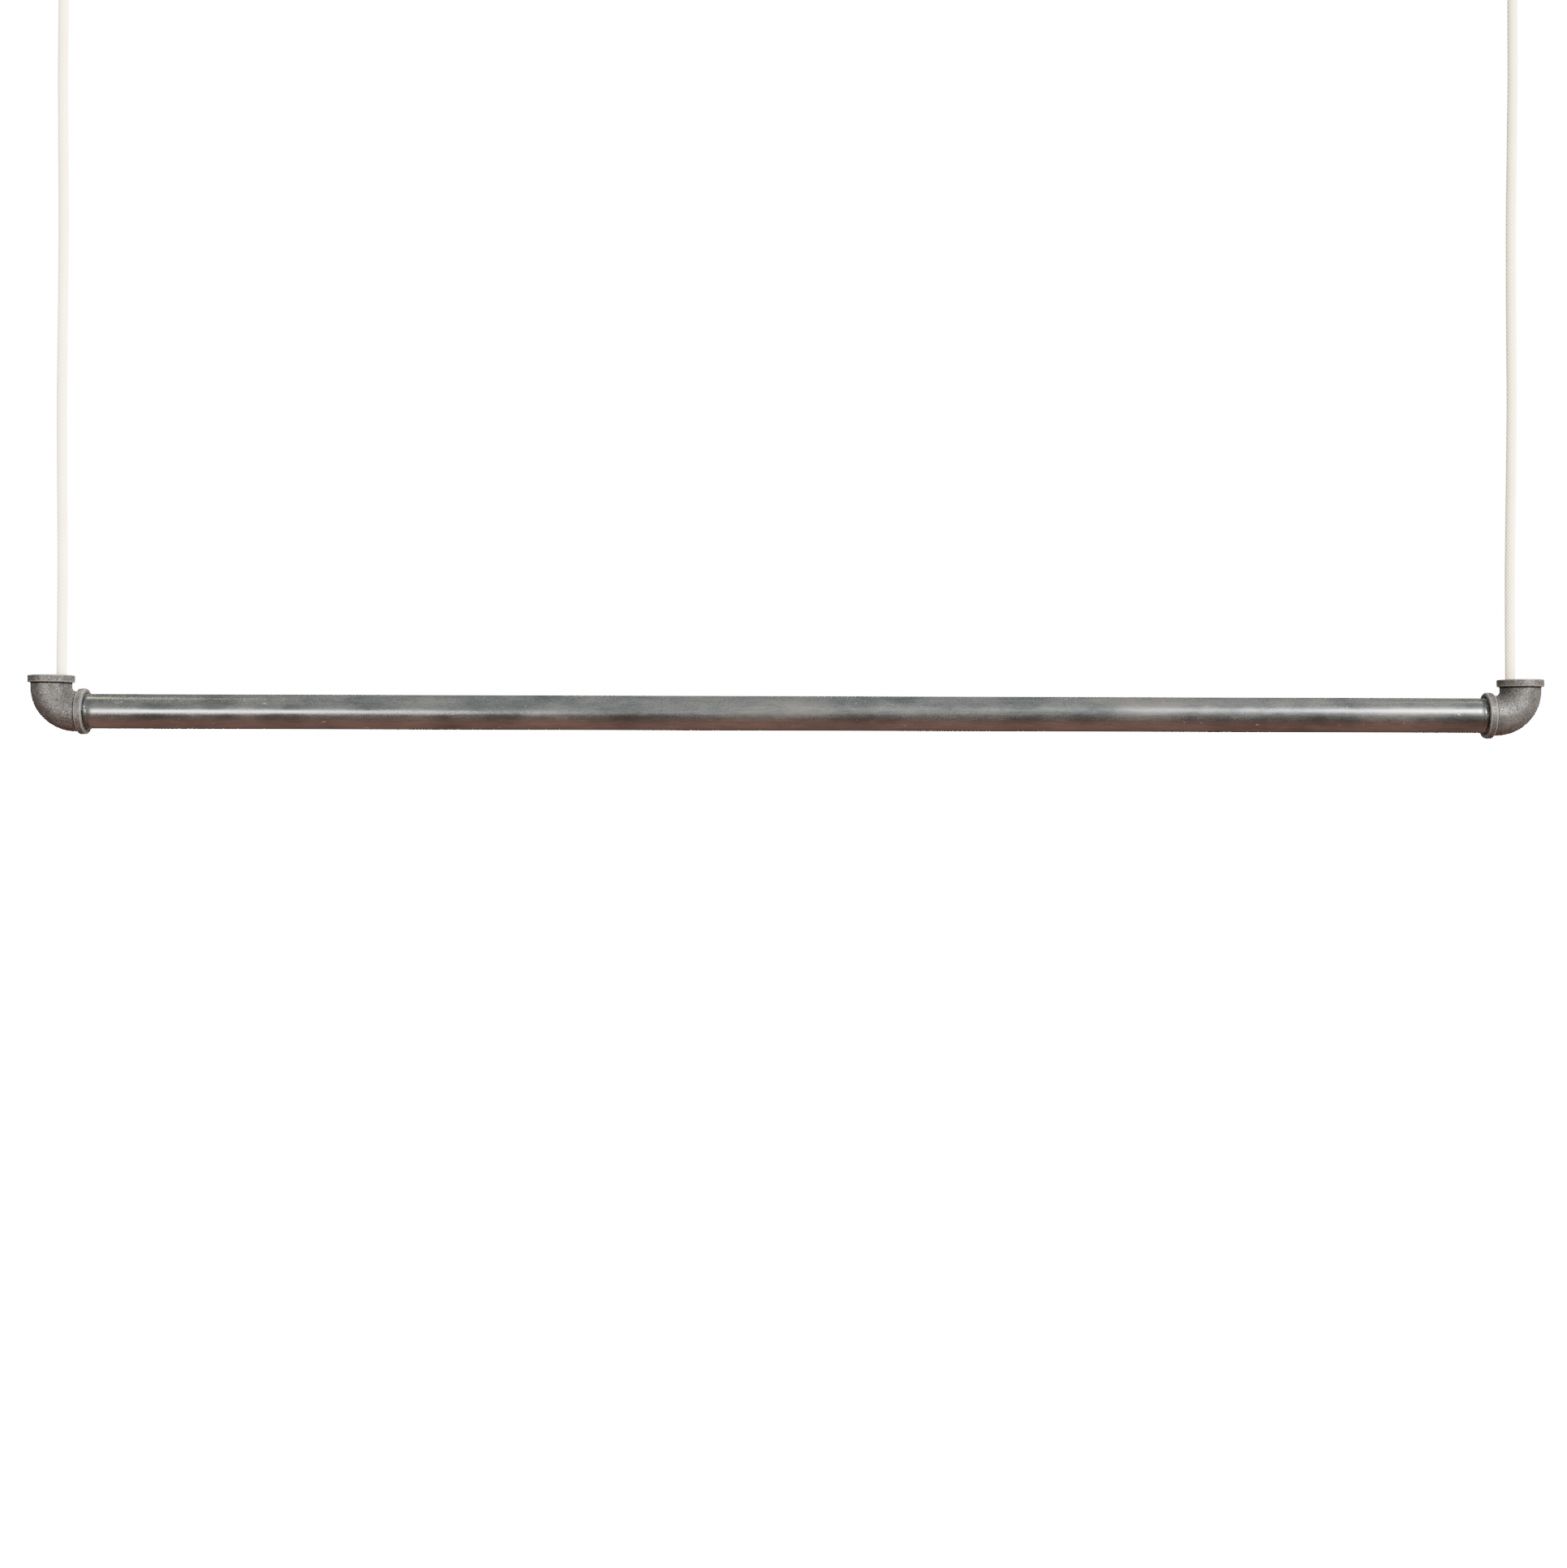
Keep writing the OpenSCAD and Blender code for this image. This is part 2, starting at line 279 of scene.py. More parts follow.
# ---------------------------------------------------------------- the pipe
def pipe_piece():
    """The pipe: a radius over X and the angle round, out along the skin and back along the bore.

    The skin is a cut thread at each end, which runs out into the full size between them; that is
    oval by a hair, and the oval turns slowly along the pipe. Both ends of the bore are bevelled.
    """
    tip_bevel, end_bevel, bore_bevel, run_out = 0.8 * mm, 0.2 * mm, 0.6 * mm, 1.6 * mm
    oval, oval_turn = 0.012 * mm, 37 * mm
    thread_count, middle_count, bore_count, columns = 84, 220, 60, 128
    threads_from = pipe_half - THREADED_LENGTH
    thread_rows = np.linspace(threads_from, pipe_half - tip_bevel, thread_count)
    middle = np.linspace(-threads_from + run_out, threads_from - run_out, middle_count)
    x_skin = np.concatenate([-thread_rows[::-1], middle, thread_rows])
    bore_end = pipe_half - bore_bevel
    x_bore = np.linspace(bore_end, -bore_end, bore_count)
    x = np.concatenate([[-pipe_half], x_skin, [pipe_half, pipe_half], x_bore, [-pipe_half]])[:, None]
    phi = angles_round(columns)
    cut = thread_wave(x_skin[:, None], phi, THREAD_PITCH)
    cut_r = THREAD_CREST_R + cut * (THREAD_ROOT_R - THREAD_CREST_R)
    full_r = pipe_r + oval * np.sin(x_skin[:, None] / oval_turn + 2 * phi)
    share = np.clip((threads_from - np.abs(x_skin[:, None])) / run_out, 0, 1)
    skin_r = cut_r + (full_r - cut_r) * share
    end_r = np.full((1, columns), THREAD_CREST_R - end_bevel)
    lip_r = np.full((1, columns), PIPE_BORE_R + bore_bevel)
    bore_r = np.full((bore_count, columns), PIPE_BORE_R)
    r = np.vstack([end_r, skin_r, end_r, lip_r, bore_r, lip_r])
    grid = np.stack([np.broadcast_to(x, r.shape), r * np.cos(phi), axis_z + r * np.sin(phi)], -1)
    return closed_mesh("steel_pipe", grid, loop=True)


# ---------------------------------------------------------------- the elbows
def port_profile():
    """One port's outline as (distance from its face, radius), from the face's edge to the neck.

    With it goes a mask of painted light and shade: 1 on the band's edges, which get a painted highlight, -1
    in the corner under the band, which gets painted shade.
    """
    count, neck_count = 7, 5
    heel_x = BAND_WIDTH - EDGE_R
    neck_start, neck_end = BAND_WIDTH + CORNER_R, face_reach - BEND_R
    lip = arc((EDGE_R, band_r - EDGE_R), EDGE_R, 180, 90, count)
    land = np.stack([np.linspace(EDGE_R, heel_x, count + 2)[1:-1], np.full(count, band_r)], -1)
    heel = arc((heel_x, band_r - EDGE_R), EDGE_R, 90, 0, count)
    fillet = arc((neck_start, BODY_R + CORNER_R), CORNER_R, 180, 270, count)
    neck = np.stack([np.linspace(neck_start, neck_end, neck_count + 2)[1:-1],
                     np.full(neck_count, BODY_R)], -1)
    # 1 paints a highlight on the band's edges, -1 paints shade in the corner under the band
    edge_light_and_shade = np.repeat([1.0, 0.15, 1.0, -1.0, 0.0], [count, count, count, count, neck_count])
    return np.vstack([lip, land, heel, fillet, neck]), edge_light_and_shade


def bore_profile(root_r, rows):
    """One port's bore as (distance from its face, radius): bevel, then down to the tapped depth."""
    bevel = np.array([[0, root_r + MOUTH_BEVEL], [MOUTH_BEVEL, root_r]])
    depth = np.linspace(MOUTH_BEVEL, THREADED_LENGTH, rows)[1:]
    return np.vstack([bevel, np.stack([depth, np.full(rows - 1, root_r)], -1)])


def elbow_piece(name, side, seed):
    """A casting: a round section of changing radius led down one port, round the bend, out the other.

    along is the distance down the centreline from the upright face. The outside runs from that
    face to the level one and the passage runs back, so the grid closes on itself. Only the
    upright port's thread is cut, because the pipe fills the level one. The skin rises by the
    lumps, grains and sags of a sand mould, three sizes of noise, and by its parting line, a bell
    curve across Y.
    """
    bend_count, passage_count, tapped_count, level_count = 66, 40, 76, 12
    pipe_room = 0.03 * mm
    thread_start = 0.3 * mm
    lump_height, lump_width = 0.10 * mm, 3.2 * mm
    grain_height, grain_width = 0.06 * mm, 1.3 * mm
    sag_height, sag_width = 0.16 * mm, 11 * mm
    parting_height, parting_width = 0.14 * mm, 0.5 * mm
    phi = angles_round(176)
    profile, port_light_and_shade = port_profile()
    straight = face_reach - BEND_R
    quarter = BEND_R * math.pi / 2
    whole = 2 * straight + quarter
    bend_rows = np.linspace(straight, straight + quarter, bend_count)
    skin_along = np.concatenate([profile[:, 0], bend_rows, whole - profile[::-1, 0]])
    skin_r = np.concatenate([profile[:, 1], np.full(bend_count, BODY_R), profile[::-1, 1]])
    level = bore_profile(THREAD_ROOT_R + pipe_room, level_count)
    upright = bore_profile(THREAD_ROOT_R, tapped_count)
    passage_rows = np.linspace(whole - THREADED_LENGTH, THREADED_LENGTH, passage_count)
    bore_along = np.concatenate([whole - level[:, 0], passage_rows, upright[::-1, 0]])
    bore_r = np.concatenate([level[:, 1], np.full(passage_count, PASSAGE_R), upright[::-1, 1]])
    along = np.concatenate([skin_along, bore_along])[:, None]
    r = np.concatenate([skin_r, bore_r])[:, None] * np.ones_like(phi)

    # the mask of painted highlight and painted shade, on the outside only
    edge_light_and_shade = np.concatenate([port_light_and_shade, np.zeros(bend_count), port_light_and_shade[::-1], np.zeros(len(bore_along))])
    edge_light_and_shade = edge_light_and_shade[:, None] * np.ones_like(phi)
    inside = np.arange(len(along))[:, None] >= len(skin_along)
    cut = thread_wave(along, phi, THREAD_PITCH)
    tapped = inside & (along > MOUTH_BEVEL / 2) & (along < THREADED_LENGTH)
    run_in = np.clip((along - thread_start) / MOUTH_BEVEL, 0, 1)
    r = r - tapped * run_in * cut * (THREAD_ROOT_R - THREAD_CREST_R)

    turn = np.clip((along - straight) / BEND_R, 0, math.pi / 2)
    before_bend = np.clip(straight - along, 0, None)
    past_bend = np.clip(along - straight - quarter, 0, None)
    centre_x = BEND_R - BEND_R * np.cos(turn) + past_bend
    centre_z = BEND_R - BEND_R * np.sin(turn) + before_bend
    out_x, out_z = -np.cos(turn), -np.sin(turn)
    x = centre_x + r * np.cos(phi) * out_x
    z = centre_z + r * np.cos(phi) * out_z
    grid = np.stack([x, r * np.sin(phi), z], -1)

    lumps = lump_height * soft_noise(grid, lump_width, seed)
    grains = grain_height * soft_noise(grid, grain_width, seed + 1)
    sags = sag_height * soft_noise(grid, sag_width, seed + 2)
    parting = parting_height * np.exp(-(grid[..., 1] / parting_width) ** 2)
    rise = np.where(inside, 0.0, lumps + grains + sags + parting)
    grid[..., 0] += rise * np.cos(phi) * out_x
    grid[..., 1] += rise * np.sin(phi)
    grid[..., 2] += rise * np.cos(phi) * out_z
    grid[..., 0] = side * (port_x - grid[..., 0])
    grid[..., 2] += axis_z
    return closed_mesh(name, grid, loop=True, height=edge_light_and_shade)


# ---------------------------------------------------------------- the rope
STRANDS = 8                     # yarns that wind each way
STRAND_TURN = 27 * mm           # length in which one yarn goes once round
BRAID_DEPTH = 0.5 * mm


def braid_height(along, phi):
    """A diamond braid's surface, 0 in its gaps to 1 on its crowns.

    Two families of yarns wind opposite ways; each is a rounded ridge that rises over one
    crossing and dips under the next, and the surface is the higher of the two.
    """
    round_by, along_by = phi * STRANDS / TURN, along * STRANDS / STRAND_TURN
    u, v = round_by + along_by, round_by - along_by
    ridge_u = 1 - (2 * (u % 1) - 1) ** 2
    ridge_v = 1 - (2 * (v % 1) - 1) ** 2
    over_u = np.cos(np.pi * np.floor(u)) * np.sin(np.pi * v)
    over_v = -np.cos(np.pi * np.floor(v)) * np.sin(np.pi * u)
    high = np.maximum(0.62 * ridge_u + 0.38 * over_u, 0.62 * ridge_v + 0.38 * over_v)
    return np.clip(high, 0, 1)


def rope_piece(name, path, step, columns, seed):
    """A braided rope along a path, and the line of its middle: the radius is the rope's own, less
    the braid's depth where the braid is low, and swells and thins softly along it."""
    uneven, uneven_length = 0.05 * mm, 19 * mm
    line, along = resample(path, step)
    phi = angles_round(columns)
    height = braid_height(along[:, None], phi)
    swell = uneven * soft_noise(line, uneven_length, seed)[:, None]
    radius = rope_r - BRAID_DEPTH * (1 - height) - uneven + swell
    uv = np.stack(np.broadcast_arrays(phi / TURN, along[:, None] / (TURN * rope_r)), -1)
    return tube(name, line, radius, columns, uv=uv, height=height), line


def elbow_turn(side, count):
    """The rope's centreline round one inside corner, from the upright mouth to the level bore."""
    turn_x, turn_z = ROPE_OFFSET + ROPE_TURN_R, (rope_low.z + rope_r - axis_z) + ROPE_TURN_R
    bend = arc((turn_x, turn_z), ROPE_TURN_R, 180, 270, count)
    x = side * (port_x - bend[:, 0])
    return np.stack([x, np.zeros(count), axis_z + bend[:, 1]], -1)


def inner_rope_piece():
    """The stretch inside the rail, from the left elbow's turn to just above the right rope's pivot.

    It is out of sight, so its grid is coarser than the hanging stretches'.
    """
    turn_count, step, columns, seed = 24, 1.0 * mm, 32, 11
    left, right = elbow_turn(-1, turn_count), elbow_turn(1, turn_count)[::-1]
    end = np.array([[rope_x, 0, lower_pivot_z + FOOT_LAP]])
    return rope_piece("rope_inside_rail", np.vstack([left, right, end]), step, columns, seed)[0]


def hanging_rope_piece(name, side, seed):
    """The upright stretch from inside the elbow to inside the knot, which hides its end.

    The left one starts at the turn. The right one starts at its pivot.
    """
    share = np.linspace(0, 1, len(WAVER))
    z = lower_pivot_z + share * (upper_pivot_z - lower_pivot_z)
    spots = np.stack([side * (rope_x - WAVER[:, 0]), WAVER[:, 1], z], -1)
    foot = elbow_turn(side, 2)[:1]
    if side > 0:
        foot[0, 2] = lower_pivot_z - FOOT_LAP
    head = np.array([[side * rope_x, 0, knot_low.z + HEAD_LAP]])
    route = curve_through(np.vstack([foot, spots, head]))
    return rope_piece(name, route, ROPE_STEP, ROPE_COLUMNS, seed)


# The two hitches round the standing rope: degrees round it, and millimetres out and up from the
# knot's middle. The rope winds once above, rides over in a slant, and winds once below.
HITCHES = np.array([
    [0, 8, 14], [12, 8.3, 9], [36, 8, 5], [75, 8, 4], [120, 8, 4], [180, 8, 4], [240, 8, 4],
    [292, 8, 4], [330, 9.6, 3.8], [364, 13, 2.4], [395, 14.8, 0], [426, 13, -2.4],
    [460, 9.6, -3.8], [498, 8, -4], [560, 8, -4], [620, 8, -4], [680, 8, -4], [722, 8, -4],
    [750, 8.6, -5.2], [764, 10.6, -9]])
# The tail below them: X, Y and Z in millimetres from the standing rope and the knot's middle
TAIL = np.array([[9.2, 9.8, -15], [8.3, 11.5, -21], [8, 12, -28], [8, 12, -34], [8, 12, -39]]) * mm


def knotted_end_path():
    """Up from inside the knot, over the eye's wire, down, round itself twice, and out as a tail.

    The rising leg leaves the knot's top along a tangent to the arc over the wire, and the falling
    leg comes back to the standing rope where the hitches start.
    """
    up_count, over_count, hitch_count, tail_count = 12, 30, 10, 8
    step, eased_times = 0.8 * mm, 10
    loop_r = wire_r + rope_r + LOOP_GAP
    knot_top = knot_high.z - wire_z
    lean = math.degrees(math.acos(loop_r / -knot_top))
    over = arc((0, wire_z), loop_r, 270 - lean, 1, over_count)
    up = np.stack([np.zeros(up_count), np.linspace(knot_z, knot_high.z, up_count)], -1)
    leg = np.array([[0.97 * loop_r, wire_z - 5 * mm], [7.7 * mm, knot_z + 24 * mm]])
    flat = np.vstack([up, over, leg])
    rise = np.column_stack([np.zeros(len(flat)), flat])
    wound = curve_through(HITCHES, hitch_count)
    turn = np.radians(wound[:, 0])
    hitch = np.stack([wound[:, 1] * mm * np.sin(turn), wound[:, 1] * mm * np.cos(turn),
                      knot_z + wound[:, 2] * mm], -1)
    tail = curve_through(np.vstack([hitch[-1], TAIL + [0, 0, knot_z]]), tail_count)
    return relax(resample(np.vstack([rise, hitch, tail[1:]]), step)[0], eased_times)


def knotted_end_piece(name, side, seed):
    """The rope's own end above the hanging stretch, as one piece with its loop and its tail."""
    path = knotted_end_path()
    path[:, 0] = side * (rope_x - path[:, 0])
    return rope_piece(name, path, ROPE_STEP, ROPE_COLUMNS, seed)[0]


def whipping_piece(name, side):
    """Waxed twine wound in close turns round the rope's cut end: one thin tube along a helix that
    climbs by the twine's thickness in each turn."""
    turns, steps_per_turn, columns = 12, 20, 8
    twine_r, twine_stands_off, first_turn = 0.35 * mm, 0.25 * mm, 1.2 * mm
    tail_x, tail_y, tail_z = TAIL[-1]
    share = np.linspace(0, 1, turns * steps_per_turn + 1)
    angle = share * turns * TURN
    r = rope_r + twine_stands_off
    path = np.stack([side * (rope_x - tail_x - r * np.cos(angle)), tail_y + r * np.sin(angle),
                     knot_z + tail_z + first_turn + share * turns * 2 * twine_r], -1)
    return tube(name, path, twine_r, columns)


# ---------------------------------------------------------------- the ceiling fittings
def eye_piece(name, side):
    """A screw eye bent from one wire: a straight shank, a swan neck, and a ring that closes on it.

    The neck is an arc that meets the shank and the ring without a corner. The radius is the
    wire's, drawn to a point at the shank's tip by a power of the distance, rounded as a ball at
    the ring's end, and cut to the thread's root between the crests of a coarse wood screw.
    """
    neck_turn = math.radians(65)
    ring_end = -260                # degrees; the wire stops just short of its own neck
    tip_short, point_length, bare_length, screw_pitch = 0.4 * mm, 7 * mm, 6 * mm, 2.6 * mm
    thread_depth = 0.24            # as a share of the wire's radius
    shank_count, neck_count, ring_count, columns = 170, 16, 130, 40
    neck_r = ring_r * math.cos(neck_turn) / (1 - math.cos(neck_turn))
    neck_z = ring_z + ring_r * math.sin(neck_turn) + neck_r * math.sin(neck_turn)
    shank = np.stack([np.zeros(shank_count), np.linspace(eye_high.z - tip_short, neck_z, shank_count)], -1)
    neck = arc((neck_r, neck_z), neck_r, 180, 180 + math.degrees(neck_turn), neck_count)
    ring = arc((0, ring_z), ring_r, math.degrees(neck_turn), ring_end, ring_count)
    flat = np.vstack([shank[:-1], neck[:-1], ring])
    path = np.stack([side * (rope_x - flat[:, 0]), np.zeros(len(flat)), flat[:, 1]], -1)
    along = distance_along(path)
    phi = angles_round(columns)
    point = np.clip(along / point_length, 0.08, 1) ** 0.7
    to_go = along[-1] - along
    end = np.sqrt(np.clip(1 - np.clip(1 - to_go / wire_r, 0, 1) ** 2, 0.02, 1))
    threaded = along < eye_high.z - bare_length
    crest = np.clip(thread_wave(along[:, None], phi, screw_pitch) * 2 - 0.7, 0, 1)
    radius = wire_r * (point * end)[:, None] * (1 - thread_depth * threaded[:, None] * (1 - crest))
    return tube(name, path, radius, columns)


def rosette_piece(name, side):
    """The pressed cup: a closed profile of (radius, height) turned about the shank's axis.

    The profile goes over the rim, down the rolled shoulder, in across the flat to the hole for
    the shank, and back along the inside at the sheet's thickness.
    """
    r, depth = (rosette_high.x - rosette_low.x) / 2, -rosette_low.z
    wall, rim_height, rim_bevel, lip_bevel = 1.2 * mm, 1.0 * mm, 0.15 * mm, 0.25 * mm
    shoulder_count, flat_count, columns = 20, 7, 96
    shoulder = depth - rim_height
    hole_r = wire_r + 0.05 * mm
    flat_end = hole_r + 0.6 * mm
    rim = np.array([[r - wall, -0.1 * mm], [r - wall + rim_bevel, 0], [r - rim_bevel, 0], [r, -rim_bevel]])
    outer = arc((r - shoulder, -rim_height), shoulder, 0, -90, shoulder_count)
    flat = np.stack([np.linspace(r - shoulder, flat_end, flat_count + 1)[1:],
                     np.full(flat_count, -depth)], -1)
    lip = np.array([[hole_r + lip_bevel, -depth], [hole_r, -depth + lip_bevel], [hole_r, -depth + wall]])
    inner = arc((r - shoulder, -rim_height), shoulder - wall, -90, 0, shoulder_count)
    profile = np.vstack([rim, outer, flat, lip, inner])
    phi = angles_round(columns)
    x = profile[:, :1] * np.cos(phi) + side * rope_x
    y = profile[:, :1] * np.sin(phi)
    z = np.broadcast_to(profile[:, 1:], x.shape)
    return closed_mesh(name, np.stack([x, y, z], -1), loop=True)


# ---------------------------------------------------------------- materials
def linear(code):
    """A hex sRGB colour as the linear RGBA that the shaders take."""
    srgb = np.array([int(code[i:i + 2], 16) for i in (1, 3, 5)]) / 255
    rgb = np.where(srgb <= 0.04045, srgb / 12.92, ((srgb + 0.055) / 1.055) ** 2.4)
    return (*rgb.tolist(), 1.0)


def add(tree, kind, settings=None, **inputs):
    """Adds a node, sets its properties, and sets or links its inputs, by name or by _number."""
    node = tree.nodes.new(kind)
    for key, value in (settings or {}).items():
        setattr(node, key, value)
    for key, value in inputs.items():
        name = key.replace("_", " ").strip()
        socket = node.inputs[int(name)] if name.isdigit() else node.inputs[name]
        if isinstance(value, bpy.types.NodeSocket):
            tree.links.new(value, socket)
        else:
            socket.default_value = value
    return node


def material(name):
    """An empty node material with its shader and output joined, and its Object coordinates."""
    made = bpy.data.materials.new(name)
    made.use_nodes = True
    tree = made.node_tree
    tree.nodes.clear()
    shader = add(tree, "ShaderNodeBsdfPrincipled")
    add(tree, "ShaderNodeOutputMaterial", Surface=shader.outputs["BSDF"])
    place = add(tree, "ShaderNodeTexCoord").outputs["Object"]
    return made, tree, shader, place


def ramp(tree, value, stops):
    """A colour ramp over value, from a list of (position, hex colour)."""
    node = add(tree, "ShaderNodeValToRGB", Fac=value)
    band = node.color_ramp
    while len(band.elements) < len(stops):
        band.elements.new(0.5)
    for element, (position, code) in zip(band.elements, stops):
        element.position = position
        element.color = linear(code)
    return node.outputs["Color"]


def span(tree, value, low, high, to_low, to_high):
    """value moved from one range to another, and held there."""
    return add(tree, "ShaderNodeMapRange", _0=value, _1=low, _2=high, _3=to_low, _4=to_high).outputs[0]


def noise(tree, place, size, detail=3.0, rough=0.5, stretch=None):
    """Noise with features of a size in metres; stretch draws them out along X, Y or Z."""
    if stretch is not None:
        place = add(tree, "ShaderNodeMapping", Vector=place, Scale=[1 / s for s in stretch]).outputs[0]
    return add(tree, "ShaderNodeTexNoise", Vector=place, Scale=1 / size, Detail=detail,
               Roughness=rough).outputs["Fac"]


def joined(tree, blend, share, first, second):
    """Two colours mixed; share is a number or a socket."""
    node = add(tree, "ShaderNodeMix", {"data_type": "RGBA", "blend_type": blend},
               _0=share, _6=first, _7=second)
    return node.outputs[2]


def mill_steel():
    """Welded black steel pipe, wiped with oil: a thin dark mill scale, streaked along the pipe and
    glossy where it is whole, paler and duller in patches where it has worn, with short bright
    scuffs."""
    made, tree, shader, place = material("mill_steel")
    drawn = noise(tree, place, 0.9 * mm, 4, 0.6, stretch=(22, 1, 1))
    patches = noise(tree, place, 20 * mm, 4, 0.6, stretch=(2.2, 1, 1))
    speck = noise(tree, place, 1.1 * mm, 3, 0.65, stretch=(3, 1, 1))
    scuff = noise(tree, place, 2.6 * mm, 2, 0.6, stretch=(2.4, 1, 1))
    base = ramp(tree, patches, [(0.3, "#8b8f8e"), (0.5, "#a1a3a1"), (0.7, "#aea9a4")])
    streaked = joined(tree, "MULTIPLY", 0.3, base,
                      ramp(tree, drawn, [(0.35, "#9a9a9a"), (0.65, "#ffffff")]))
    worn = span(tree, scuff, 0.71, 0.75, 0, 0.8)
    tree.links.new(joined(tree, "MIX", worn, streaked, linear("#f2f0ea")), shader.inputs["Base Color"])
    dull = span(tree, patches, 0.3, 0.7, 0.15, 0.27)
    shiny = add(tree, "ShaderNodeMath", {"operation": "MULTIPLY_ADD"}, _0=speck, _1=0.12, _2=dull)
    tree.links.new(shiny.outputs[0], shader.inputs["Roughness"])
    fine = add(tree, "ShaderNodeBump", Strength=0.12, Distance=0.05 * mm, Height=drawn)
    grain = add(tree, "ShaderNodeBump", Strength=0.14, Distance=0.05 * mm, Height=speck,
                Normal=fine.outputs[0])
    bump = add(tree, "ShaderNodeBump", Strength=0.4, Distance=0.08 * mm, Height=worn,
               Normal=grain.outputs[0])
    tree.links.new(bump.outputs[0], shader.inputs["Normal"])
    shader.inputs["Metallic"].default_value = 1.0
    return made


def sand_cast_iron():
    """Malleable iron as it leaves the sand mould, oiled: dark grey with a pebbled skin whose high
    grains shine, with a painted highlight on the bands' edges, painted shade in the corner under
    the bands and painted shade in the pits. The grit of 0.3 mm is drawn 1.1 mm wide to show."""
    made, tree, shader, place = material("sand_cast_iron")
    grit = noise(tree, place, 1.1 * mm, 3, 0.6)
    pebble = add(tree, "ShaderNodeTexVoronoi", {"feature": "SMOOTH_F1"}, Vector=place,
                 Scale=1 / (1.4 * mm), Smoothness=0.6).outputs["Distance"]
    cloud = noise(tree, place, 6 * mm, 3, 0.6)
    edge_light_and_shade = add(tree, "ShaderNodeAttribute", {"attribute_name": "crown"}).outputs["Fac"]
    base = ramp(tree, cloud, [(0.3, "#706d6a"), (0.7, "#8a8682")])
    flecked = joined(tree, "MIX", span(tree, grit, 0.56, 0.68, 0, 0.6), base, linear("#d6d2cc"))
    # the low grains are painted dark: painted shade in the pits
    painted_pit_shade = joined(tree, "MIX", span(tree, grit, 0.44, 0.32, 0, 0.7), flecked, linear("#3c3a39"))
    # a painted highlight on the bands' edges, then painted shade in the corner under them
    painted_edge_highlight = joined(tree, "MIX", span(tree, edge_light_and_shade, 0.5, 1.0, 0, 0.5), painted_pit_shade, linear("#c9c4be"))
    painted_corner_shade = joined(tree, "MIX", span(tree, edge_light_and_shade, -0.3, -0.9, 0, 0.85), painted_edge_highlight, linear("#2c2a29"))
    tree.links.new(painted_corner_shade, shader.inputs["Base Color"])
    tree.links.new(span(tree, grit, 0.35, 0.65, 0.64, 0.48), shader.inputs["Roughness"])
    low = add(tree, "ShaderNodeBump", Strength=0.7, Distance=0.14 * mm, Height=pebble)
    low.invert = True
    bump = add(tree, "ShaderNodeBump", Strength=0.8, Distance=0.12 * mm, Height=grit,
               Normal=low.outputs[0])
    tree.links.new(bump.outputs[0], shader.inputs["Normal"])
    shader.inputs["Metallic"].default_value = 1.0
    return made


def braided_cotton():
    """Undyed cotton in a diamond braid: cream yarns, with painted shade darkening the gaps between
    them, and the fine twist of their plies. The plies of 0.5 mm are drawn 1.3 mm wide to show."""
    made, tree, shader, place = material("braided_cotton")
    run = add(tree, "ShaderNodeUVMap", {"uv_map": "run"}).outputs["UV"]
    crown = add(tree, "ShaderNodeAttribute", {"attribute_name": "crown"}).outputs["Fac"]
    ply_step = 1.885 * mm          # from ply to ply round the rope, on a slant of 45 degrees
    plies_round = TURN * rope_r / ply_step
    # the map is as wide as the rope is round, and diagonal bands repeat each TURN / 10 of it
    plies = add(tree, "ShaderNodeTexWave", {"wave_type": "BANDS", "bands_direction": "DIAGONAL"},
                Vector=run, Scale=plies_round * TURN / 10, Distortion=1.2, Detail=2.0).outputs["Fac"]
    fuzz = noise(tree, place, 0.6 * mm, 3, 0.6)
    soil = noise(tree, place, 30 * mm, 3, 0.6)
    # painted shade: the ramp over the braid's height paints the gaps near black, the crowns cream
    base = ramp(tree, crown, [(0.1, "#4a4437"), (0.28, "#a89d83"), (0.5, "#f4e3b8"), (0.8, "#ffefc4")])
    clean = joined(tree, "MULTIPLY", span(tree, soil, 0.35, 0.7, 0, 0.5), base, linear("#efe6d0"))
    twisted = joined(tree, "MULTIPLY", 0.22, clean, ramp(tree, plies, [(0.2, "#cfc6b2"), (0.7, "#ffffff")]))
    tree.links.new(twisted, shader.inputs["Base Color"])
    soft = add(tree, "ShaderNodeBump", Strength=0.35, Distance=0.1 * mm, Height=plies)
    bump = add(tree, "ShaderNodeBump", Strength=0.4, Distance=0.12 * mm, Height=fuzz,
               Normal=soft.outputs[0])
    tree.links.new(bump.outputs[0], shader.inputs["Normal"])
    shader.inputs["Roughness"].default_value = 0.9
    shader.inputs["Sheen Weight"].default_value = 0.35
    shader.inputs["Sheen Roughness"].default_value = 0.5
    return made


def waxed_twine():
    """Linen twine drawn through wax: tan, a little glossy, with darker marks from its twist."""
    made, tree, shader, place = material("waxed_twine")
    twist = noise(tree, place, 0.5 * mm, 2, 0.5, stretch=(1, 1, 0.4))
    tree.links.new(ramp(tree, twist, [(0.3, "#8a7350"), (0.7, "#c2a877")]), shader.inputs["Base Color"])
    bump = add(tree, "ShaderNodeBump", Strength=0.5, Distance=0.08 * mm, Height=twist)
    tree.links.new(bump.outputs[0], shader.inputs["Normal"])
    shader.inputs["Roughness"].default_value = 0.55
    return made


